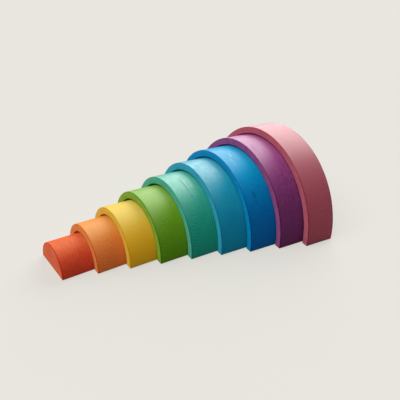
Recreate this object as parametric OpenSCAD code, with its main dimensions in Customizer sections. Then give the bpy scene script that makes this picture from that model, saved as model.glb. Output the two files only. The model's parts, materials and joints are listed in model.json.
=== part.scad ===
// A rainbow of nesting wooden arches, drawn out in a row.
// A solid half-round core and eight arches nest round one another, and each piece slides inside the
// next larger one. Every arch is a half ring on two flat feet, and every edge is sanded to one radius.
// The row is laid by hand on a gentle curve, so each piece is turned a little in the arch behind it and
// stands a little to one side of its middle.
// Y is square to the largest arch's faces and runs from the core to that arch, X runs across the
// arches and Z upwards. The origin lies on the ground under the middle of the row.

/* [Nest] */
// Radius of the half-round core
core_r = 41; // [25:1:60]
// Thickness of each arch between its inner and outer curves
wall = 13; // [8:0.5:20]
// Clearance all round between a piece and the arch over it
nest_gap = 2; // [0.8:0.1:4]
// Depth of each piece from its front face to its back face
depth = 60; // [40:1:90]
// Radius that every edge is sanded to
edge_r = 1.5; // [0.5:0.1:3]

/* [Row] */
// How far a piece still reaches into the arch behind it, before its own share
row_lap = 7; // [3:0.5:30]
// Share of the clearance that the most turned piece's turn takes up; 0 lays the row straight
turn_share = 0.82; // [0:0.02:0.9]
// Share of the clearance by which the pieces furthest to one side stand off; 0 centres every piece
side_share = 0.45; // [0:0.05:0.5]

/* [Hidden] */
NODES = [
    "red_core", "orange_arch", "yellow_arch", "green_arch", "mint_arch",
    "aqua_arch", "blue_arch", "purple_arch", "pink_arch"
];
$fn = 96;

// The core has place 0 and the arches follow outwards from 1
arch_count = len(NODES) - 1;

// Each piece's own share of the lap, the turn and the offset in the arch behind it, from the core outwards
lap_shares = [0.75, 1.1, 1.3, 0.85, 0.7, 0.95, 0.85, 1.25];
turn_shares = [0.3, 1, 0.35, 0.7, 0.9, 0.45, 0.1, 0.2];
side_shares = [0.75, 0.1, 0.85, 1, 0.95, 0.1, 0.3, -1];

// Outer radius of the piece at a place in the nest
function outer_r(place) = core_r + place * (nest_gap + wall);

// Inner radius of the arch at a place in the nest
function inner_r(place) = outer_r(place) - wall;

// How far a piece reaches into the arch behind it
function lap(place) = lap_shares[place] * row_lap;

// Angle between a piece and the arch behind it
function turn_in(place) = asin(turn_shares[place] * turn_share * nest_gap / depth);

// How far a piece stands to one side in the arch behind it
function offset_in(place) = side_shares[place] * side_share * nest_gap;

// Turn of a piece about the vertical, counted from the largest arch
function turn(place) = place == arch_count ? 0 : turn(place + 1) + turn_in(place);

// Directions on the ground across a turned piece, and from its front face backwards
function across(angle) = [cos(angle), sin(angle)];
function backwards(angle) = [-sin(angle), cos(angle)];

// Middle of a piece's front edge on the ground, counted from that of the largest arch.
// In the middle of the lap the piece's centre line lies at its offset from the centre line of the arch
function front_at(place) =
    place == arch_count ? [0, 0] :
    front_at(place + 1)
    + across(turn(place + 1)) * offset_in(place)
    + backwards(turn(place + 1)) * lap(place) / 2
    - backwards(turn(place)) * (depth - lap(place) / 2);

// The row reaches from the foremost corner of the turned core to the largest arch's back face
row_front = front_at(0).y - (core_r - edge_r) * sin(turn(0)) - edge_r * (1 - cos(turn(0)));
row_middle = [0, (row_front + depth) / 2];

// Section of an arch, from its inner radius outwards and from its front face backwards
module arch_section(inner) {
    translate([inner + edge_r, 0]) square([wall - 2 * edge_r, depth]);
    translate([inner, edge_r]) square([wall, depth - 2 * edge_r]);
    for (x = [inner + edge_r, inner + wall - edge_r], y = [edge_r, depth - edge_r])
        translate([x, y]) circle(r = edge_r);
}

// Section of the solid core, from its centre line outwards
module core_section() {
    square([core_r - edge_r, depth]);
    translate([0, edge_r]) square([core_r, depth - 2 * edge_r]);
    for (y = [edge_r, depth - edge_r])
        translate([core_r - edge_r, y]) circle(r = edge_r);
}

// Half turn of a section, raised so that its ends stand on the feet
module half_turn() {
    translate([0, depth, edge_r])
        rotate([90, 0, 0])
            rotate_extrude(angle = 180)
                children();
}

// Flat foot whose four sides are eased down to the ground
module foot(left, width) {
    right = left + width;
    flat_width = width - 2 * edge_r;
    flat_depth = depth - 2 * edge_r;
    intersection() {
        translate([left, 0, 0]) cube([width, depth, edge_r]);
        union() {
            translate([left + edge_r, edge_r, 0]) cube([flat_width, flat_depth, edge_r]);
            for (x = [left + edge_r, right - edge_r])
                translate([x, edge_r, edge_r]) rotate([-90, 0, 0]) cylinder(r = edge_r, h = flat_depth);
            for (y = [edge_r, depth - edge_r])
                translate([left + edge_r, y, edge_r]) rotate([0, 90, 0]) cylinder(r = edge_r, h = flat_width);
            for (x = [left + edge_r, right - edge_r], y = [edge_r, depth - edge_r])
                translate([x, y, edge_r]) sphere(r = edge_r);
        }
    }
}

// A piece moved and turned to its place in the row
module in_row(place) {
    translate(concat(front_at(place) - row_middle, 0))
        rotate([0, 0, turn(place)])
            children();
}

// Arch at a place in the nest
module arch(place) {
    in_row(place) {
        half_turn() arch_section(inner_r(place));
        foot(inner_r(place), wall);
        foot(-outer_r(place), wall);
    }
}

module red_core() {
    color("#c2492f")
        in_row(0) {
            half_turn() core_section();
            foot(-core_r, 2 * core_r);
        }
}

module orange_arch() {
    color("#dd8a45") arch(1);
}

module yellow_arch() {
    color("#d8b03f") arch(2);
}

module green_arch() {
    color("#6b9c33") arch(3);
}

module mint_arch() {
    color("#4fa98c") arch(4);
}

module aqua_arch() {
    color("#3f97b0") arch(5);
}

module blue_arch() {
    color("#1f86c2") arch(6);
}

module purple_arch() {
    color("#8c5285") arch(7);
}

module pink_arch() {
    color("#c98088") arch(8);
}

red_core();
orange_arch();
yellow_arch();
green_arch();
mint_arch();
aqua_arch();
blue_arch();
purple_arch();
pink_arch();
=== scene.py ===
# %% [markdown]
# A wooden rainbow, drawn out in a row.
# The toy is nine loose pieces of wood: a half-round core and eight arches, sawn one inside the other out
# of a single block, then sanded, dyed and oiled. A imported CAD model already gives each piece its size,
# its place and its motion. This lesson dresses that model, so it begins by loading it.

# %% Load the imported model
import json
import math
import bmesh
import bpy
from mathutils import Matrix, Vector, noise

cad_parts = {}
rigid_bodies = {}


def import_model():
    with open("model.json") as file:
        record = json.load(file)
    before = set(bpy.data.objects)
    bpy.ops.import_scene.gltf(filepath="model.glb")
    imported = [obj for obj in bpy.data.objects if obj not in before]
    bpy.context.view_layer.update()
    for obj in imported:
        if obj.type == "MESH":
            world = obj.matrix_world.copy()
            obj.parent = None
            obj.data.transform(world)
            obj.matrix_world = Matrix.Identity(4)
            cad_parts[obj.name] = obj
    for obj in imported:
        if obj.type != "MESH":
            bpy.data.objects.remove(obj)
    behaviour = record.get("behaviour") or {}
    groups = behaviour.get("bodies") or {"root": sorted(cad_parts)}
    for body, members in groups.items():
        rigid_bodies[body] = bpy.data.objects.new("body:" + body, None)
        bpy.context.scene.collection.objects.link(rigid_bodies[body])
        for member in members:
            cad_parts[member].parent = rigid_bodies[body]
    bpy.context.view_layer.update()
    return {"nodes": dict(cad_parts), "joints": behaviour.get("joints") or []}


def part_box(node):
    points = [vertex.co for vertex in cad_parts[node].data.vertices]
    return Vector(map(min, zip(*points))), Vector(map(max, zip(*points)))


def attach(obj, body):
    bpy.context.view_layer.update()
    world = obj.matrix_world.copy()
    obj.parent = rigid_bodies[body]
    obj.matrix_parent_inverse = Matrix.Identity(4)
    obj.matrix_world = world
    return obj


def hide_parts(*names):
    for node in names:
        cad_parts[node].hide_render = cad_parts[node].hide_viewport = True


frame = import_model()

scene = bpy.context.scene
scene.view_settings.view_transform = "Standard"
print("loaded", sorted(frame["nodes"]))

# %% [markdown]
# Measures.
# Everything that can be read from the frame is read from it, so a change of size in the CAD model carries
# over. The order of the row follows the chain of slides, from the core to the largest arch. A piece's
# radius is its height above its eased base, and its turn in the row comes from the directions of the
# slides, because each slide points halfway between the turns of the two pieces that it joins.

# %% Read the measures from the frame
MM = 0.001
EASE = 1.5 * MM
NEST_GAP = 2 * MM

slides = {slide["child"]: slide for slide in frame["joints"]}
ROW = list(slides) + [frame["joints"][-1]["parent"]]
CORE, LARGEST = ROW[0], ROW[-1]


def heading(slide):
    """Angle of a slide from the row's straight line, about the vertical."""
    return math.atan2(slide["axis"][0], -slide["axis"][1])


TURN = {LARGEST: 0.0}
for name in reversed(ROW[:-1]):
    TURN[name] = 2 * heading(slides[name]) - TURN[slides[name]["parent"]]

RADIUS, CENTRE = {}, {}
for name in ROW:
    low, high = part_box(name)
    RADIUS[name] = high.z - EASE
    CENTRE[name] = Vector(((low.x + high.x) / 2, (low.y + high.y) / 2, 0))

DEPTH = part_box(LARGEST)[1].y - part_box(LARGEST)[0].y
WALL = RADIUS[ROW[2]] - RADIUS[ROW[1]] - NEST_GAP
print("depth", round(DEPTH / MM, 2), "wall", round(WALL / MM, 2), "mm")
print("radii", [round(RADIUS[name] / MM, 1) for name in ROW], "mm")

# %% [markdown]
# The camera.
# The photograph looks down on the row from its near flank, a little ahead of the core. The angles, the
# distance and the lens were solved from the corners of the feet and the crowns of all nine pieces. The
# camera aims at a point above the ground and ahead of the largest arch, and it leans by a few degrees.

# %% Camera
CAMERA_AZIMUTH = math.radians(58.02)
CAMERA_ELEVATION = math.radians(29.37)
CAMERA_LEAN = math.radians(3.84)
CAMERA_DISTANCE = 954.0 * MM
CAMERA_LENS = 45.44
AIM_AHEAD = 134.1 * MM
AIM_HEIGHT = 45.25 * MM

flat = math.cos(CAMERA_ELEVATION)
backward = Vector((
    math.sin(CAMERA_AZIMUTH) * flat, -math.cos(CAMERA_AZIMUTH) * flat, math.sin(CAMERA_ELEVATION)
))
across = Vector((math.cos(CAMERA_AZIMUTH), math.sin(CAMERA_AZIMUTH), 0))
upward = backward.cross(across)
leaning_across = across * math.cos(CAMERA_LEAN) + upward * math.sin(CAMERA_LEAN)
leaning_upward = upward * math.cos(CAMERA_LEAN) - across * math.sin(CAMERA_LEAN)

aim = Vector((0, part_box(LARGEST)[0].y - AIM_AHEAD, AIM_HEIGHT))
turned = Matrix((leaning_across, leaning_upward, backward)).transposed()
camera = bpy.data.objects.new("camera", bpy.data.cameras.new("camera"))
camera.data.lens = CAMERA_LENS
camera.matrix_world = Matrix.Translation(aim + backward * CAMERA_DISTANCE) @ turned.to_4x4()
scene.collection.objects.link(camera)
scene.camera = camera
print("camera at", [round(c, 3) for c in camera.location])

# %% [markdown]
# Small helpers for shader nodes.
# A node tree reads better as formulas than as boxes and wires, so these few functions add a node, feed
# its sockets with numbers or with other sockets, and hand back the socket that holds the result.

# %% Node helpers
VALUE, COLOUR, VECTOR = "NodeSocketFloat", "NodeSocketColor", "NodeSocketVector"


def add(tree, kind, **options):
    """A new node with its options set."""
    node = tree.nodes.new(kind)
    for name, value in options.items():
        setattr(node, name, value)
    return node


def feed(tree, socket, source):
    """Links a socket from another one, or sets it to a plain value."""
    if isinstance(source, bpy.types.NodeSocket):
        tree.links.new(source, socket)
    else:
        socket.default_value = source


def calc(tree, operation, *sources, clamp=False):
    """The result of one step of arithmetic."""
    node = add(tree, "ShaderNodeMath", operation=operation, use_clamp=clamp)
    for socket, source in zip(node.inputs, sources):
        feed(tree, socket, source)
    return node.outputs["Value"]


def ramp(tree, source, start, end, low=0.0, high=1.0):
    """A smooth step of a value: low at start and high at end."""
    node = add(tree, "ShaderNodeMapRange", interpolation_type="SMOOTHSTEP")
    names = ("Value", "From Min", "From Max", "To Min", "To Max")
    for name, value in zip(names, (source, start, end, low, high)):
        feed(tree, node.inputs[name], value)
    return node.outputs["Result"]


def split(tree, source):
    """The three parts of a vector."""
    node = add(tree, "ShaderNodeSeparateXYZ")
    feed(tree, node.inputs[0], source)
    return node.outputs


def cloud(tree, place, per_metre, detail=2.0):
    """Soft noise in space, with its own count of swells per metre along each axis."""
    stretch = add(tree, "ShaderNodeVectorMath", operation="MULTIPLY")
    feed(tree, stretch.inputs[0], place)
    stretch.inputs[1].default_value = per_metre
    node = add(tree, "ShaderNodeTexNoise")
    node.inputs["Scale"].default_value = 1.0
    node.inputs["Detail"].default_value = detail
    feed(tree, node.inputs["Vector"], stretch.outputs[0])
    return node.outputs["Fac"]


def blend(tree, mode, amount, under, over):
    """Two colours mixed in one of the mixing modes."""
    node = add(tree, "ShaderNodeMix", data_type="RGBA", blend_type=mode)
    feed(tree, node.inputs["Factor"], amount)
    feed(tree, node.inputs[6], under)
    feed(tree, node.inputs[7], over)
    return node.outputs[2]


def new_group(title, inputs, outputs):
    """An empty node group with named sockets, and its own input and output nodes' sockets."""
    tree = bpy.data.node_groups.new(title, "ShaderNodeTree")
    for name, kind in inputs:
        tree.interface.new_socket(name, in_out="INPUT", socket_type=kind)
    for name, kind in outputs:
        tree.interface.new_socket(name, in_out="OUTPUT", socket_type=kind)
    return tree, add(tree, "NodeGroupInput").outputs, add(tree, "NodeGroupOutput").inputs


def use_group(tree, group, **sources):
    """A group placed in a material, with its inputs fed by name."""
    node = add(tree, "ShaderNodeGroup", node_tree=group)
    for name, source in sources.items():
        feed(tree, node.inputs[name.replace("_", " ")], source)
    return node.outputs


print("node helpers ready")

# %% [markdown]
# Growth rings of one block.
# All nine pieces come out of one block, so they share one set of growth rings. The grain runs across the
# toy, along X, and the heart of the tree runs through the block at about the height of the mint arch's
# crown. A ring is a tube about that heart: it shows as arcs on the flanks, where the grain ends, and hides
# on the crowns. A picture of wood could not turn those corners. A solid texture can: it works out the
# distance of each point from the heart, in the block's own space. The rings are narrow near the heart and
# widen outwards, so they are counted by a power of that distance. Each ring has its own strength, and all of
# them come and go in patches and fade towards the feet.

# %% Growth rings group
HEART_DEPTH = 6.3 * MM
HEART_HEIGHT = 91 * MM
HEART_LEAN = 0.153
HEART_DRIFT = 7 * MM
DRIFT_FALL = 25 * MM
RING_UNIT = 2.3 * MM
RING_POWER = 0.8
RING_HEIGHT = 1.55
RING_SWAY, SWAY_SWELLS = 6 * MM, (4, 25, 25)
RING_WAVER, WAVER_SWELLS = 0.5 * MM, (15, 90, 90)
LATE_WOOD, LATE_PEAK = 0.3, 0.85
FAINTEST_RING, FAINTEST_PATCH, FAINTEST_FOOT = 0.55, 0.45, 0.35
PATCH_SWELLS, PATCH_EDGE = (20, 40, 40), (0.35, 0.65)
FOOT_LOW, FOOT_HIGH = 5 * MM, 45 * MM
FIBRE_SWELLS = (60, 1300, 1300)
STREAK_SWELLS = (70, 210, 210)
FINE = 3.0


def growth_rings():
    """Masks of the rings, the fine fibres and the streaks of the dye, at a place in the block."""
    tree, given, result = new_group(
        "Growth rings", [("Place", VECTOR)], [("Ring", VALUE), ("Fibre", VALUE), ("Streak", VALUE)]
    )
    place = given["Place"]
    x, y, z = split(tree, place)
    drift = ramp(tree, z, HEART_HEIGHT, HEART_HEIGHT - DRIFT_FALL, 0.0, HEART_DRIFT)
    heart_y = calc(tree, "MULTIPLY_ADD", x, -HEART_LEAN, HEART_DEPTH)
    off_y = calc(tree, "ADD", calc(tree, "SUBTRACT", y, heart_y), drift)
    off_y = calc(tree, "MULTIPLY", off_y, RING_HEIGHT)
    off_z = calc(tree, "SUBTRACT", z, HEART_HEIGHT)
    away = calc(tree, "SQRT", calc(
        tree, "ADD", calc(tree, "POWER", off_y, 2.0), calc(tree, "POWER", off_z, 2.0)
    ))
    sway = calc(tree, "MULTIPLY_ADD", cloud(tree, place, SWAY_SWELLS), RING_SWAY, away)
    waver = calc(tree, "MULTIPLY_ADD", cloud(tree, place, WAVER_SWELLS), RING_WAVER, sway)
    count = calc(tree, "POWER", calc(tree, "DIVIDE", waver, RING_UNIT), RING_POWER)
    along = calc(tree, "FRACT", count)
    line = calc(tree, "MULTIPLY", ramp(tree, along, LATE_WOOD, LATE_PEAK), ramp(tree, along, 1.0, LATE_PEAK))
    lot = add(tree, "ShaderNodeTexWhiteNoise", noise_dimensions="1D")
    feed(tree, lot.inputs["W"], calc(tree, "FLOOR", count))
    own = ramp(tree, lot.outputs["Value"], 0.0, 1.0, FAINTEST_RING, 1.0)
    patchy = ramp(tree, cloud(tree, place, PATCH_SWELLS), *PATCH_EDGE, FAINTEST_PATCH, 1.0)
    risen = ramp(tree, z, FOOT_LOW, FOOT_HIGH, FAINTEST_FOOT, 1.0)
    for share in (own, patchy, risen):
        line = calc(tree, "MULTIPLY", line, share)
    feed(tree, result["Ring"], line)
    feed(tree, result["Fibre"], cloud(tree, place, FIBRE_SWELLS, FINE))
    feed(tree, result["Streak"], cloud(tree, place, STREAK_SWELLS, FINE))
    return tree


GROWTH_RINGS = growth_rings()
print("group", GROWTH_RINGS.name)

# %% [markdown]
# Dye in the wood.
# The dye soaks in, so the wood stays visible through it. It could be drawn as darker and paler paint, but a
# dye is a filter: light crosses it twice, and a layer that is a third deeper raises its colour to the power
# 1.3. That power turns a pale dye into a darker and richer one of the same hue, which no mixing with black
# does. So one group adds up how deep the dye is. End grain and flat faces have colours of their own, because
# they drink differently. Late wood takes more dye, and streaks take more or less. Eased edges come out
# darker.
# Sawn insides are darker too, partly from dye and partly as painted shade in the gaps between the pieces.
# Pale wood shows between the rings, and pale patches on the upward-facing crowns are a painted sheen.
# Oil lies over the dye. It sinks into end grain, flat faces and sawn wood, and on the smooth crowns it stays
# on top, in streaks. So the group also says how much of it is left as a coat.

# %% Dyed wood group
BARE_WOOD = (0.30, 0.20, 0.12, 1)
# Pale colour of the painted sheen on the crowns, and of the scratches on the blue crown.
PALE_SHEEN_AND_SCRATCHES = (1.0, 0.94, 0.88, 1)
SHEEN_PATCH_EDGE = (0.3, 0.7)
END_CALM = 0.5
# Sawn insides come out darker, partly from dye and partly as painted shade in the gaps between the pieces.
FIBRE_DYE, EDGE_DARKENING, SAWN_DYE_AND_GAP_SHADE = 0.25, 0.5, 0.35
STREAK_OIL = 1.6
FACE_LOSS, EDGE_LOSS = 0.8, 0.6
RING_SINK = 0.35


def dyed_wood():
    """Colour, oil coat and height of dyed wood from the masks of the grain."""
    colours = ("Side colour", "End colour", "Face colour")
    masks = ("End", "Dry", "Crown", "Face", "Ring", "Early wood", "Fibre", "Streak", "Eased", "Sawn")
    strengths = ("Ring strength", "Bare share", "Mottle", "Bloom share", "Gloss")
    tree, given, result = new_group(
        "Dyed wood",
        [(name, COLOUR) for name in colours] + [(name, VALUE) for name in masks + strengths],
        [("Colour", COLOUR), ("Coat", VALUE), ("Height", VALUE)],
    )
    fibre = calc(tree, "SUBTRACT", given["Fibre"], 0.5)
    streak = calc(tree, "SUBTRACT", given["Streak"], 0.5)
    depth = calc(tree, "MULTIPLY_ADD", given["Ring"], given["Ring strength"], 1.0)
    calm = calc(tree, "MULTIPLY_ADD", given["End"], -END_CALM, 1.0)
    uneven = calc(tree, "MULTIPLY", given["Mottle"], calm)
    # Eased edges come out darker, and sawn insides darker partly as painted shade in the gaps.
    extras = ((streak, uneven), (fibre, FIBRE_DYE), (given["Eased"], EDGE_DARKENING), (given["Sawn"], SAWN_DYE_AND_GAP_SHADE))
    for mask, extra in extras:
        depth = calc(tree, "MULTIPLY_ADD", mask, extra, depth)
    filtered = add(tree, "ShaderNodeGamma")
    dye = blend(tree, "MIX", given["End"], given["Side colour"], given["End colour"])
    dye = blend(tree, "MIX", given["Face"], dye, given["Face colour"])
    feed(tree, filtered.inputs["Color"], dye)
    feed(tree, filtered.inputs["Gamma"], depth)
    bare = calc(tree, "MULTIPLY", given["Early wood"], given["Bare share"])
    ringed = blend(tree, "MIX", bare, filtered.outputs["Color"], BARE_WOOD)
    # Pale patches on the upward-facing crown, set by the streaks: a painted sheen laid into the colour.
    sheen_patches = calc(tree, "MULTIPLY", ramp(tree, given["Streak"], *SHEEN_PATCH_EDGE), given["Bloom share"])
    painted_sheen = calc(tree, "MULTIPLY", sheen_patches, given["Crown"])
    feed(tree, result["Colour"], blend(tree, "MIX", painted_sheen, ringed, PALE_SHEEN_AND_SCRATCHES))
    coat = calc(tree, "MULTIPLY", given["Gloss"], calc(tree, "MULTIPLY_ADD", streak, STREAK_OIL, 1.0))
    # Coat is lost on faces, eased edges, dried flanks and under the painted shade of the arch behind.
    for mask, loss in ((given["Face"], FACE_LOSS), (given["Eased"], EDGE_LOSS), (given["Dry"], 1.0)):
        coat = calc(tree, "MULTIPLY", coat, calc(tree, "MULTIPLY_ADD", mask, -loss, 1.0))
    sanded = calc(tree, "SUBTRACT", 1.0, given["Sawn"])
    feed(tree, result["Coat"], calc(tree, "MULTIPLY", coat, sanded, clamp=True))
    feed(tree, result["Height"], calc(tree, "MULTIPLY_ADD", given["Ring"], -RING_SINK, fibre))
    return tree


DYED_WOOD = dyed_wood()
print("group", DYED_WOOD.name)

# %% [markdown]
# Saw marks.
# The band saw leaves fine ribs along the depth of each inner curve, and nobody sands them all away inside a
# tunnel. They follow the curve, so the group counts them by the angle round the piece's centre line.

# %% Saw marks group
SAW_RIB = 1.9 * MM
SAW_WOBBLE, WOBBLE_SWELLS = 2.5 * MM, (90, 12, 90)


def saw_marks():
    """Height of the ribs that the saw left on an inner curve of a given radius."""
    tree, given, result = new_group(
        "Saw marks", [("Place", VECTOR), ("Inner radius", VALUE), ("Sawn", VALUE)], [("Height", VALUE)]
    )
    x, _, z = split(tree, given["Place"])
    angle = calc(tree, "ARCTAN2", x, calc(tree, "SUBTRACT", z, EASE))
    length = calc(tree, "MULTIPLY", angle, given["Inner radius"])
    wobble = cloud(tree, given["Place"], WOBBLE_SWELLS)
    uneven = calc(tree, "MULTIPLY_ADD", wobble, SAW_WOBBLE, length)
    rib = calc(tree, "SINE", calc(tree, "MULTIPLY", uneven, math.tau / SAW_RIB))
    feed(tree, result["Height"], calc(tree, "MULTIPLY", rib, given["Sawn"]))
    return tree


SAW_MARKS = saw_marks()
print("group", SAW_MARKS.name)

# %% [markdown]
# Marks on the wood.
# A few marks belong to single pieces: the stained heart of the tree where it comes out of a flank, an olive
# patch on a front face and some scratches on the blue crown. They could be painted by hand into a picture,
# but each is just a short soft stroke between two places. A group measures how far a point lies from such a
# stroke, so one group serves for spots, dashes and scratches.

# %% Stroke group
def stroke():
    """1 on the line from a start along a way, fading out over a width."""
    tree, given, result = new_group(
        "Stroke", [("Place", VECTOR), ("Start", VECTOR), ("Way", VECTOR), ("Width", VALUE)], [("Mask", VALUE)]
    )

    def vector(operation, *sources):
        node = add(tree, "ShaderNodeVectorMath", operation=operation)
        for socket, source in zip(node.inputs, sources):
            feed(tree, socket, source)
        return node.outputs

    off = vector("SUBTRACT", given["Place"], given["Start"])["Vector"]
    reach = vector("DOT_PRODUCT", off, given["Way"])["Value"]
    whole = vector("DOT_PRODUCT", given["Way"], given["Way"])["Value"]
    share = calc(tree, "DIVIDE", reach, whole, clamp=True)
    scaled = add(tree, "ShaderNodeVectorMath", operation="SCALE")
    feed(tree, scaled.inputs["Vector"], given["Way"])
    feed(tree, scaled.inputs["Scale"], share)
    apart = vector("LENGTH", vector("SUBTRACT", off, scaled.outputs["Vector"])["Vector"])["Value"]
    feed(tree, result["Mask"], ramp(tree, calc(tree, "DIVIDE", apart, given["Width"]), 1.0, 0.0))
    return tree


STROKE = stroke()
print("group", STROKE.name)

# %% [markdown]
# The nine dyes.
# Each piece has three colours: one for the side grain of its crown, one for the end grain of its flanks and
# one for its flat faces. The other numbers say how strongly its rings show, how much bare wood shows between
# them, how uneven its dye is, how much pale painted sheen lies on its crown, and how strong and how rough
# its oil is.
# They differ a lot: the mint arch has the boldest rings, the aqua one a brownish grain, and the pink one
# hides nearly everything. Three pieces also say where down their flanks the oil begins to dry out and where
# it has gone, because their sheen ends sooner than on the others.

# %% Dyes
DYES = {
    "red_core": {
        "side": (0.69, 0.12, 0.03), "end": (0.66, 0.06, 0.026), "face": (0.77, 0.147, 0.063),
        "rings": 0.06, "bare": 0.0, "mottle": 0.55, "painted_sheen": 0.0, "gloss": 0.22, "rough": 0.5,
    },
    "orange_arch": {
        "side": (0.73, 0.265, 0.035), "end": (0.76, 0.185, 0.042), "face": (0.76, 0.27, 0.068),
        "rings": 0.2, "bare": 0.0, "mottle": 0.3, "painted_sheen": 0.0, "gloss": 0.48, "rough": 0.54,
    },
    "yellow_arch": {
        "side": (0.72, 0.505, 0.07), "end": (0.79, 0.42, 0.015), "face": (0.77, 0.495, 0.053),
        "rings": 0.14, "bare": 0.0, "mottle": 0.2, "painted_sheen": 0.0, "gloss": 0.33, "rough": 0.54,
    },
    "green_arch": {
        "side": (0.18, 0.38, 0.02), "end": (0.11, 0.285, 0.009), "face": (0.22, 0.42, 0.035),
        "rings": 0.16, "bare": 0.0, "mottle": 0.4, "painted_sheen": 0.01, "gloss": 0.72, "rough": 0.52,
    },
    "mint_arch": {
        "side": (0.045, 0.4, 0.28), "end": (0.002, 0.305, 0.22), "face": (0.09, 0.46, 0.32),
        "rings": 0.25, "bare": 0.04, "mottle": 0.4, "painted_sheen": 0.03, "gloss": 0.83, "rough": 0.48,
    },
    "aqua_arch": {
        "side": (0.015, 0.335, 0.455), "end": (0.001, 0.243, 0.405), "face": (0.03, 0.39, 0.54),
        "rings": 0.22, "bare": 0.02, "mottle": 0.3, "painted_sheen": 0.05, "gloss": 0.7, "rough": 0.46,
        "dry": (0.3, 0.85),
    },
    "blue_arch": {
        "side": (0.001, 0.325, 0.585), "end": (0.001, 0.12, 0.375), "face": (0.001, 0.265, 0.54),
        "rings": 0.1, "bare": 0.0, "mottle": 0.4, "painted_sheen": 0.02, "gloss": 0.32, "rough": 0.37,
        "dry": (0.1, 0.65),
    },
    "purple_arch": {
        "side": (0.345, 0.067, 0.245), "end": (0.15, 0.028, 0.12), "face": (0.31, 0.08, 0.23),
        "rings": 0.06, "bare": 0.0, "mottle": 0.5, "painted_sheen": 0.015, "gloss": 0.72, "rough": 0.48,
        "dry": (0.25, 0.8),
    },
    "pink_arch": {
        "side": (0.495, 0.142, 0.17), "end": (0.355, 0.071, 0.104), "face": (0.51, 0.12, 0.17),
        "rings": 0.05, "bare": 0.0, "mottle": 0.4, "painted_sheen": 0.01, "gloss": 0.78, "rough": 0.52,
    },
}
print("dyes", list(DYES))

# %% [markdown]
# Where the marks lie.
# The ends of a mark are given as one would point at them on the toy: by the angle from the crown in degrees,
# by the depth from the middle of the piece in millimetres and, for a mark on a face, by how far it lies below
# the outer curve. So they stay in place on the curve when its radius changes.

# %% Marks of single pieces
DARK_TEAL = (0.0, 0.05, 0.10, 1)
DARK_GREEN = (0.01, 0.09, 0.05, 1)
STAIN = (0.10, 0.10, 0.07, 1)
DRY_BROWN = (0.40, 0.22, 0.14, 1)
OLIVE = (0.14, 0.15, 0.06, 1)
MARKS = {
    "mint_arch": [
        {"ends": ((27.2, -1.1), (28.6, -0.9)), "width": 2.0, "colour": DARK_GREEN, "share": 0.8},
        {"ends": ((20.0, -1.5), (26.0, -1.2)), "width": 1.1, "colour": DARK_GREEN, "share": 0.6},
        {"ends": ((6.0, -1.9), (17.0, -1.7)), "width": 0.9, "colour": DRY_BROWN, "share": 0.35},
        {"ends": ((-5.4, -30, 5.1), (-1.3, -30, 10.5)), "width": 3.5, "colour": OLIVE, "share": 0.35},
    ],
    "aqua_arch": [
        {"ends": ((38.8, -5.6), (40.2, -5.2)), "width": 1.3, "colour": STAIN, "share": 0.5},
        {"ends": ((40.9, -3.9), (41.8, -3.7)), "width": 1.1, "colour": STAIN, "share": 0.3},
        {"ends": ((41.6, -6.8), (42.6, -6.6)), "width": 1.1, "colour": STAIN, "share": 0.25},
    ],
    "blue_arch": [
        {"ends": ((44.3, -8.5), (47.5, -7.9)), "width": 5.0, "colour": DARK_TEAL, "share": 0.45},
        {"ends": ((50.4, -7.4), (52.2, -6.9)), "width": 3.6, "colour": DARK_TEAL, "share": 0.25},
        {"ends": ((0.6, -3.6), (5.8, -5.6)), "width": 1.5, "colour": PALE_SHEEN_AND_SCRATCHES, "share": 0.22},
        {"ends": ((5.4, -9.5), (4.2, -1.0)), "width": 1.2, "colour": PALE_SHEEN_AND_SCRATCHES, "share": 0.12},
        {"ends": ((9.2, -12.7), (13.0, -12.5)), "width": 1.4, "colour": PALE_SHEEN_AND_SCRATCHES, "share": 0.08},
        {"ends": ((6.5, -1.0), (12.0, 3.0)), "width": 1.4, "colour": PALE_SHEEN_AND_SCRATCHES, "share": 0.06},
        {"ends": ((13.0, -13.0), (16.5, -12.0)), "width": 1.4, "colour": PALE_SHEEN_AND_SCRATCHES, "share": 0.06},
    ],
}


def on_curve(name, angle, depth, below=0.0):
    """A place on or below a piece's outer curve, by its angle in degrees and its depths in millimetres."""
    lean = math.radians(angle)
    radius = RADIUS[name] - below * MM
    return Vector((radius * math.sin(lean), depth * MM, EASE + radius * math.cos(lean)))


def with_marks(tree, name, place, colour):
    """A colour with the piece's own marks laid over it."""
    for mark in MARKS.get(name, []):
        start, end = [on_curve(name, *spot) for spot in mark["ends"]]
        mask = use_group(tree, STROKE, Place=place, Start=start, Way=end - start, Width=mark["width"] * MM)
        amount = calc(tree, "MULTIPLY", mask["Mask"], mark["share"])
        colour = blend(tree, "MIX", amount, colour, mark["colour"])
    return colour


print("marks on", list(MARKS))

# %% [markdown]
# The wood of a piece.
# A material of its own for each piece puts the groups together. It tells crown, flank and face apart by the
# direction in which the surface looks, which a picture wrapped round the piece would not know. The mesh says
# which points lie on an eased edge, on a sawn inside or in the crack.
# The oil dries out down the flank. The sheen also ends sooner towards the back of each piece, as painted
# shade of the arch behind it. The largest arch has nothing behind it, so it has no such shade.

# %% Wood materials
# Dark colour laid into the crack as painted shade.
CRACK_PAINTED_SHADE = (0.13, 0.13, 0.08, 1)
GRAIN_DEPTH = 0.06 * MM
GRAIN_STRENGTH = 0.5
WOOD_ROUGHNESS = 0.7
WOOD_SPECULAR = 0.05
OIL_IOR = 1.9
OIL_FADE = (0.4, 0.95)
# Painted shade of the arch behind: how fast it takes the sheen away towards the back, and from where.
ARCH_SHADE_SLANT = 8.0
ARCH_SHADE_START = -15 * MM
END_GRAIN = (0.2, 1.0)
RINGS_SEEN = (0.38, 0.72)
CROWN_TOP = (0.88, 1.0)
FLAT_FACE = (0.6, 0.95)
ROUNDED = (0.999, 0.9)


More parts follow.
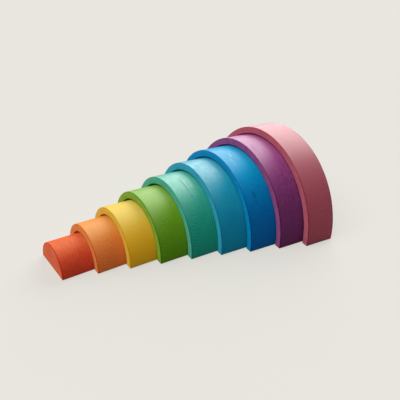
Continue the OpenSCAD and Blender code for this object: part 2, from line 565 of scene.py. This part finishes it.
def wood_material(name):
    """The dyed and oiled wood of one piece."""
    dye = DYES[name]
    material = bpy.data.materials.new(name.split("_")[0] + "_dyed_wood")
    material.use_nodes = True
    tree = material.node_tree
    shader = tree.nodes["Principled BSDF"]
    spot = add(tree, "ShaderNodeTexCoord").outputs
    across, ahead, up = split(tree, spot["Normal"])
    facing = calc(tree, "ABSOLUTE", across)
    eased, sawn, check = [
        add(tree, "ShaderNodeAttribute", attribute_name=word).outputs["Fac"]
        for word in ("eased", "sawn", "check")
    ]
    flat = calc(tree, "ABSOLUTE", ahead)
    edge = calc(tree, "MULTIPLY", eased, ramp(tree, flat, *ROUNDED))
    grain = use_group(tree, GROWTH_RINGS, Place=spot["Object"])
    seen = ramp(tree, facing, *RINGS_SEEN)
    # Towards the back the coat fades as painted shade of the arch behind, except on the largest arch.
    shade_slant = 0.0 if name == LARGEST else ARCH_SHADE_SLANT
    behind = calc(tree, "SUBTRACT", split(tree, spot["Object"])[1], ARCH_SHADE_START)
    shaded_reach = calc(tree, "MULTIPLY_ADD", behind, shade_slant, facing)
    ring = calc(tree, "MULTIPLY", grain["Ring"], seen)
    # Crown is the upward-facing top of a piece, where the painted sheen goes.
    wood = use_group(
        tree, DYED_WOOD,
        Side_colour=(*dye["side"], 1), End_colour=(*dye["end"], 1), Face_colour=(*dye["face"], 1),
        End=ramp(tree, facing, *END_GRAIN), Dry=ramp(tree, shaded_reach, *dye.get("dry", OIL_FADE)),
        Crown=ramp(tree, up, *CROWN_TOP), Face=ramp(tree, flat, *FLAT_FACE),
        Ring=ring, Early_wood=calc(tree, "SUBTRACT", seen, ring), Fibre=grain["Fibre"],
        Streak=grain["Streak"], Eased=edge, Sawn=sawn,
        Ring_strength=dye["rings"], Bare_share=dye["bare"],
        Mottle=dye["mottle"], Bloom_share=dye["painted_sheen"], Gloss=dye["gloss"],
    )
    ribs = use_group(tree, SAW_MARKS, Place=spot["Object"], Inner_radius=RADIUS[name] - WALL, Sawn=sawn)
    # The crack is darkened with painted shade.
    checked = blend(tree, "MIX", check, wood["Colour"], CRACK_PAINTED_SHADE)
    bump = add(tree, "ShaderNodeBump")
    bump.inputs["Strength"].default_value = GRAIN_STRENGTH
    bump.inputs["Distance"].default_value = GRAIN_DEPTH
    feed(tree, bump.inputs["Height"], calc(tree, "ADD", wood["Height"], ribs["Height"]))
    feed(tree, shader.inputs["Base Color"], with_marks(tree, name, spot["Object"], checked))
    feed(tree, shader.inputs["Coat Weight"], wood["Coat"])
    feed(tree, shader.inputs["Normal"], bump.outputs["Normal"])
    shader.inputs["Roughness"].default_value = WOOD_ROUGHNESS
    shader.inputs["Specular IOR Level"].default_value = WOOD_SPECULAR
    shader.inputs["Coat Roughness"].default_value = dye["rough"]
    shader.inputs["Coat IOR"].default_value = OIL_IOR
    return material


MATERIALS = {name: wood_material(name) for name in ROW}
print("materials", [material.name for material in MATERIALS.values()])

# %% [markdown]
# The shape of an arch.
# An arch could be a ready-made torus cut in half, but its section is a rectangle with eased corners and it
# stands on two flat feet. So the section is drawn as a ring of points and carried round a half circle.
# At each foot the section draws in along a quarter circle until it lies flat on the ground. The sanded
# surfaces wander by a tenth of a millimetre, as hand-finished wood does, which softens every reflection.

# %% Section and sweep of an arch
CORNER_STEPS = 5
ARC_STEP = 2.0 * MM
SIDE_STEP = 4.0 * MM
BRACE = 0.5 * MM
SAME_PLACE = EASE / 1000
HAND_WAVE = 34 * MM
HAND_DEPTH = 0.12 * MM
HAND_APART = 5
FOOT_FADE = 12 * MM


def corner(middle_a, middle_b, radius, start):
    """A quarter circle in the section's plane from a start angle in degrees, with its directions."""
    points = []
    for step in range(CORNER_STEPS + 1):
        angle = math.radians(start + 90 * step / CORNER_STEPS)
        facing = (math.cos(angle), math.sin(angle))
        points.append((middle_a + radius * facing[0], middle_b + radius * facing[1], facing))
    return points


def places(start, end):
    """Places along a straight side: a brace beside each end and even steps between."""
    way = math.copysign(1, end - start)
    inside = abs(end - start) - 2 * BRACE
    count = max(1, round(inside / SIDE_STEP))
    return [start + way * (BRACE + inside * step / count) for step in range(count + 1)]


def smooth(value):
    """Smooth step from 0 to 1."""
    value = min(1.0, max(0.0, value))
    return value * value * (3 - 2 * value)


def arch_section(inner, outer, inset, columns):
    """Ring of points round an arch's section: radius, depth, facing, and whether it is eased or sawn."""
    reach = EASE - inset
    far, near = outer - EASE, inner + EASE
    front, back = -DEPTH / 2 + EASE, DEPTH / 2 - EASE
    ring = [(*point, 1.0, 0.0) for point in corner(far, front, reach, -90)]
    ring += [(far + reach, depth, (1, 0), 0.0, 0.0) for depth in columns]
    ring += [(*point, 1.0, 0.0) for point in corner(far, back, reach, 0)]
    ring += [(radius, back + reach, (0, 1), 0.0, 0.0) for radius in places(far, near)]
    ring += [(*point, 1.0, 0.0) for point in corner(near, back, reach, 90)]
    ring += [(near - reach, depth, (-1, 0), 0.0, 1.0) for depth in places(back, front)]
    ring += [(*point, 1.0, 0.0) for point in corner(near, front, reach, 180)]
    ring += [(radius, front - reach, (0, -1), 0.0, 0.0) for radius in places(near, far)]
    return ring


def hand_sanded(point, name):
    """How far a sanded surface strays from the true one. It is true again at the feet."""
    wave = point / HAND_WAVE + Vector((0, 0, HAND_APART * ROW.index(name)))
    return HAND_DEPTH * noise.noise(wave) * smooth((point.z - EASE) / FOOT_FADE)


print("sweep helpers ready")

# %% [markdown]
# The heart check.
# As the block dried, a fine crack opened from the heart of the tree up to the crown of the mint arch. It is
# a real groove: five columns of points follow its path, and the middle one sinks in. The material also
# darkens it as painted shade.
# The crack comes and goes along its length, so its depth is uneven.

# %% Heart check of the mint arch
CHECKED = "mint_arch"
CHECK_START, CHECK_END = math.radians(0.5), math.radians(28.5)
CHECK_DEPTH = 1.8 * MM
CHECK_HALF_WIDTH = 0.4 * MM
CHECK_BRACE = 1.3 * MM
CHECK_PLACE = -1.9 * MM
CHECK_BEND = 0.8 * MM
CHECK_WANDER = 0.4 * MM
BEND_START, BEND_LENGTH = 0.28, 0.2
FADE_IN, FADE_OUT = 0.16, 0.04
OPEN_SHARE, OPEN_CHANGE = 0.62, 0.38
WANDER_SWELLS, OPEN_SWELLS = 9, 26


def check_path(lean):
    """Depth of the crack's line at an angle from the crown."""
    bend = CHECK_BEND * smooth((lean - BEND_START) / BEND_LENGTH)
    return CHECK_PLACE + bend + CHECK_WANDER * noise.noise(Vector((lean * WANDER_SWELLS, 0.5, 0.5)))


def check_share(lean):
    """How open the crack is at an angle from the crown, from 0 to 1."""
    ends = smooth((lean - CHECK_START) / FADE_IN) * smooth((CHECK_END - lean) / FADE_OUT)
    return ends * (OPEN_SHARE + OPEN_CHANGE * noise.noise(Vector((lean * OPEN_SWELLS, 2.5, 0.5))))


def outer_columns(name, lean):
    """Depths of the columns of points on an outer curve, with the crack's own columns where there is one."""
    columns = places(-DEPTH / 2 + EASE, DEPTH / 2 - EASE)
    if name != CHECKED:
        return columns
    middle = check_path(lean)
    clear = [depth for depth in columns if abs(depth - CHECK_PLACE) > 2 * CHECK_BRACE]
    steps = (-CHECK_BRACE, -CHECK_HALF_WIDTH, 0.0, CHECK_HALF_WIDTH, CHECK_BRACE)
    return sorted(clear + [middle + step for step in steps])


print("crack from", CHECK_START, "to", CHECK_END, "radians from the crown")

# %% [markdown]
# Building the meshes.
# The sweep makes one ring of points after another and joins each to the next with quads. Three numbers go
# with every point for the materials to read: how far it lies on an eased edge, whether the saw made its
# surface, and whether it lies in the crack.

# %% Meshes of the arches and the core
def skin(name, rings, marks):
    """A closed mesh over rings of points, with flat caps on the first and the last ring."""
    count = len(rings[0])
    mesh = bpy.data.meshes.new(name + "_wood")
    faces = []
    for row in range(len(rings) - 1):
        for step in range(count):
            here, after = row * count + step, row * count + (step + 1) % count
            faces.append((here, after, after + count, here + count))
    last = (len(rings) - 1) * count
    faces += [tuple(range(count)), tuple(range(last + count - 1, last - 1, -1))]
    mesh.from_pydata([point for ring in rings for point in ring], [], faces)
    for word, values in marks.items():
        mesh.attributes.new(word, "FLOAT", "POINT").data.foreach_set("value", values)
    form = bmesh.new()
    form.from_mesh(mesh)
    bmesh.ops.remove_doubles(form, verts=form.verts, dist=SAME_PLACE)
    bmesh.ops.recalc_face_normals(form, faces=form.faces)
    for face in form.faces:
        face.smooth = len(face.verts) <= 4
    form.to_mesh(mesh)
    form.free()
    return mesh


def foot_levels():
    """Inset and drop of the section on its way down to a foot."""
    turns = [math.radians(90 * step / CORNER_STEPS) for step in range(1, CORNER_STEPS + 1)]
    return [(EASE * (1 - math.cos(turn)), EASE * math.sin(turn)) for turn in turns]


def arch_mesh(name):
    """The wood of one arch, with its centre line along Y and its feet on the ground."""
    outer = RADIUS[name]
    inner = outer - WALL
    count = round(math.pi * outer / ARC_STEP)
    stations = [(0.0, inset, drop) for inset, drop in reversed(foot_levels())]
    stations += [(math.pi * step / count, 0.0, 0.0) for step in range(count + 1)]
    stations += [(math.pi, inset, drop) for inset, drop in foot_levels()]
    rings, marks = [], {"eased": [], "sawn": [], "check": []}
    for angle, inset, drop in stations:
        lean = math.pi / 2 - angle
        open_share = check_share(lean) if name == CHECKED and CHECK_START < lean < CHECK_END else 0.0
        ring = []
        section = arch_section(inner, outer, inset, outer_columns(name, lean))
        for radius, depth, facing, eased, sawn in section:
            way = Vector((math.cos(angle), 0, math.sin(angle)))
            point = Vector((0, depth, EASE - drop)) + way * radius
            normal = way * facing[0] + Vector((0, facing[1], 0))
            point += normal * hand_sanded(point, name)
            on_path = facing == (1, 0) and abs(depth - check_path(lean)) < SAME_PLACE
            in_check = open_share if on_path else 0.0
            ring.append(point - normal * (CHECK_DEPTH * in_check))
            marks["eased"].append(max(eased, inset / EASE))
            marks["sawn"].append(sawn)
            marks["check"].append(in_check)
        rings.append(ring)
    return skin(name, rings, marks)


def core_outline(radius, inset):
    """Half-round outline of the core, drawn in by an inset, in X and Z."""
    reach = EASE - inset
    count = round(math.pi * radius / ARC_STEP)
    outline = [(x, z) for x, z, facing in corner(radius - EASE, EASE, reach, -90)]
    for step in range(1, count):
        angle = math.pi * step / count
        outline.append(((radius - inset) * math.cos(angle), EASE + (radius - inset) * math.sin(angle)))
    outline += [(x, z) for x, z, facing in corner(EASE - radius, EASE, reach, 180)]
    return outline + [(x, inset) for x in places(EASE - radius, radius - EASE)]


def core_mesh(name):
    """The wood of the half-round core, built in slices from its front face to its back face."""
    turns = [math.radians(90 * step / CORNER_STEPS) for step in range(CORNER_STEPS + 1)]
    front = [(EASE * (1 - math.cos(turn)) - DEPTH / 2, EASE * (1 - math.sin(turn))) for turn in turns]
    middle = [(depth, 0.0) for depth in places(front[-1][0], -front[-1][0])]
    slices = front + middle + [(-depth, inset) for depth, inset in reversed(front)]
    rings, marks = [], {"eased": [], "sawn": [], "check": []}
    for depth, inset in slices:
        on_edge = abs(depth) > DEPTH / 2 - EASE - SAME_PLACE
        ring = []
        for x, z in core_outline(RADIUS[name], inset):
            point = Vector((x, depth, z))
            normal = Vector((x, 0, max(0.0, z - EASE))).normalized()
            ring.append(point + normal * hand_sanded(point, name))
            marks["eased"].append(1.0 if on_edge else 1.0 - smooth(z / EASE))
            marks["sawn"].append(0.0)
            marks["check"].append(0.0)
        rings.append(ring)
    return skin(name, rings, marks)


print("mesh builders ready")

# %% [markdown]
# Placing the pieces.
# Each mesh is built about its own centre line, with its feet on the ground, and is then turned and moved to
# its place in the row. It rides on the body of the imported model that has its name, so it slides when that
# body does, and it takes the place of the plain CAD solid.

# %% Place the nine pieces
for name in ROW:
    mesh = core_mesh(name) if name == CORE else arch_mesh(name)
    piece = bpy.data.objects.new(name + "_wood", mesh)
    piece.matrix_world = Matrix.Translation(CENTRE[name]) @ Matrix.Rotation(TURN[name], 4, "Z")
    scene.collection.objects.link(piece)
    mesh.materials.append(MATERIALS[name])
    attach(piece, name)
    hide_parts(name)
    print(piece.name, len(mesh.polygons), "faces")

# %% [markdown]
# Floor and background.
# The studio is one pale floor that runs on to the horizon, and the same pale tone beyond it. The camera
# sees most of that tone as plain colour, so the background is even, and the rest of it as a lit surface, so
# the floor keeps a soft shadow under the toy. The plain part is set to make up for what the lamps give, so
# that the open floor comes out in just the tone of the background.

# %% Floor and world
BACKGROUND = (0.807, 0.791, 0.738, 1)
FLOOR_HALF = 8.0
FLOOR_DROP = 0.05 * MM
PLAIN_SHARE = 0.75
PLAIN_LEVEL = 0.89
BOUNCE_SHARE = 0.72
GLEAM_SHARE = 0.02


def floor_material():
    """Pale floor, part plain tone and part lit surface to the camera."""
    material = bpy.data.materials.new("studio_floor")
    material.use_nodes = True
    tree = material.node_tree
    tree.nodes.clear()
    ray = add(tree, "ShaderNodeLightPath").outputs
    level = calc(tree, "MULTIPLY_ADD", ray["Is Camera Ray"], 1 - BOUNCE_SHARE, BOUNCE_SHARE)
    level = calc(tree, "MULTIPLY_ADD", ray["Is Glossy Ray"], GLEAM_SHARE - BOUNCE_SHARE, level)
    lit = add(tree, "ShaderNodeBsdfDiffuse")
    feed(tree, lit.inputs["Color"], blend(tree, "MULTIPLY", 1.0, BACKGROUND, level))
    plain = add(tree, "ShaderNodeEmission")
    plain.inputs["Color"].default_value = BACKGROUND
    plain.inputs["Strength"].default_value = PLAIN_LEVEL
    mix = add(tree, "ShaderNodeMixShader")
    feed(tree, mix.inputs[0], calc(tree, "MULTIPLY", ray["Is Camera Ray"], PLAIN_SHARE))
    feed(tree, mix.inputs[1], lit.outputs[0])
    feed(tree, mix.inputs[2], plain.outputs[0])
    feed(tree, add(tree, "ShaderNodeOutputMaterial").inputs["Surface"], mix.outputs[0])
    return material


sheet = bpy.data.meshes.new("studio_floor")
directions = ((-1, -1), (1, -1), (1, 1), (-1, 1))
corners = [(x * FLOOR_HALF, y * FLOOR_HALF, -FLOOR_DROP) for x, y in directions]
sheet.from_pydata(corners, [], [(0, 1, 2, 3)])
sheet.materials.append(floor_material())
floor = bpy.data.objects.new("studio_floor", sheet)
scene.collection.objects.link(floor)

world = bpy.data.worlds.new("studio")
world.use_nodes = True
scene.world = world
sky = world.node_tree.nodes["Background"]
sky.inputs["Color"].default_value = BACKGROUND
seen = add(world.node_tree, "ShaderNodeLightPath").outputs["Is Camera Ray"]
feed(world.node_tree, sky.inputs["Strength"], seen)
print("floor and world ready")

# %% [markdown]
# Light.
# A broad soft key comes from behind the far flank. It brushes the crowns, gives them their pale sheen and
# leaves the near flanks in shade. A broad fill from high in front of the core lights the front faces. Suns
# with a wide angle act as softboxes far away, so they light a long row evenly. Their directions, widths and
# strengths were solved from the shading of all nine pieces.

# %% Lights
LIGHTS = {
    "key": {"towards": (-0.58, 0.644, 0.5), "strength": 3.6, "angle": 60},
    "fill": {"towards": (0.0, -0.5, 0.866), "strength": 2.75, "angle": 60},
}
for name, light in LIGHTS.items():
    lamp = bpy.data.lights.new(name, "SUN")
    lamp.energy = light["strength"]
    lamp.angle = math.radians(light["angle"])
    lamp_object = bpy.data.objects.new(name, lamp)
    lamp_object.rotation_mode = "QUATERNION"
    lamp_object.rotation_quaternion = Vector(light["towards"]).to_track_quat("Z", "Y")
    scene.collection.objects.link(lamp_object)
print("lights", list(LIGHTS))
